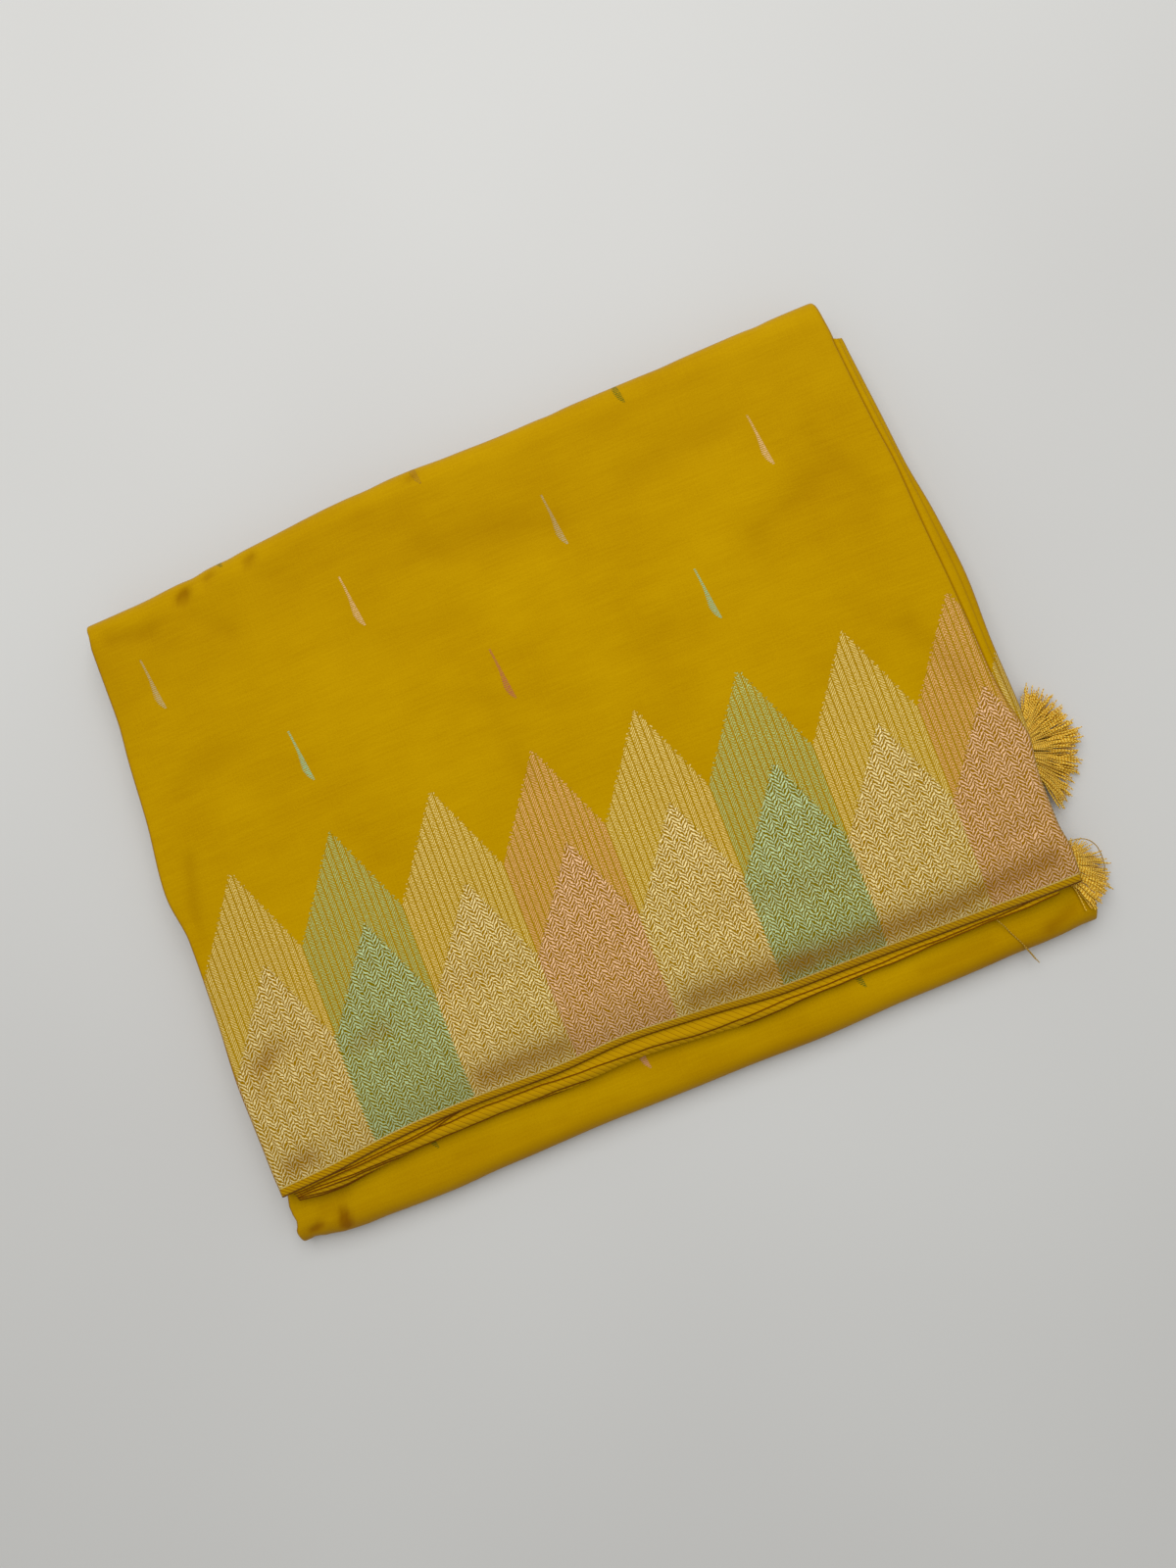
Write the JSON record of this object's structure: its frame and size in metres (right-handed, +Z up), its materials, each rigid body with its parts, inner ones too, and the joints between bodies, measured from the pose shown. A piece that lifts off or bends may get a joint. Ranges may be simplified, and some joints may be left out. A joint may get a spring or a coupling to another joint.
{
  "type": "folded silk sari",
  "caption": "Silk sari folded for the shelf into a flat pile, with a woven spire border, fanned selvedges and thread tassels at one edge.",
  "frame": {"origin": "centre of the bounding box, on the surface that the pile rests on", "axes": "+X along the border towards the tassels, +Y towards the back fold, +Z up"},
  "size_m": [0.4374, 0.3343, 0.025],
  "materials": {
    "bordered_silk": "mustard silk with a brocaded spire border in pale gold, green and pink, satin sheen",
    "silk": "plain mustard silk, soft sheen",
    "selvedge_silk": "mustard silk selvedge with fine diagonal ribs",
    "tassel_thread": "twisted golden silk thread, glossy"
  },
  "bodies": {
    "root": {"top_stretch": "bordered_silk", "second_selvedge": "selvedge_silk", "third_selvedge": "selvedge_silk", "fourth_selvedge": "selvedge_silk", "front_fold": "silk", "inner_layers": "silk", "rear_tassel": "tassel_thread", "front_tassel": "tassel_thread"}
  },
  "joints": []
}
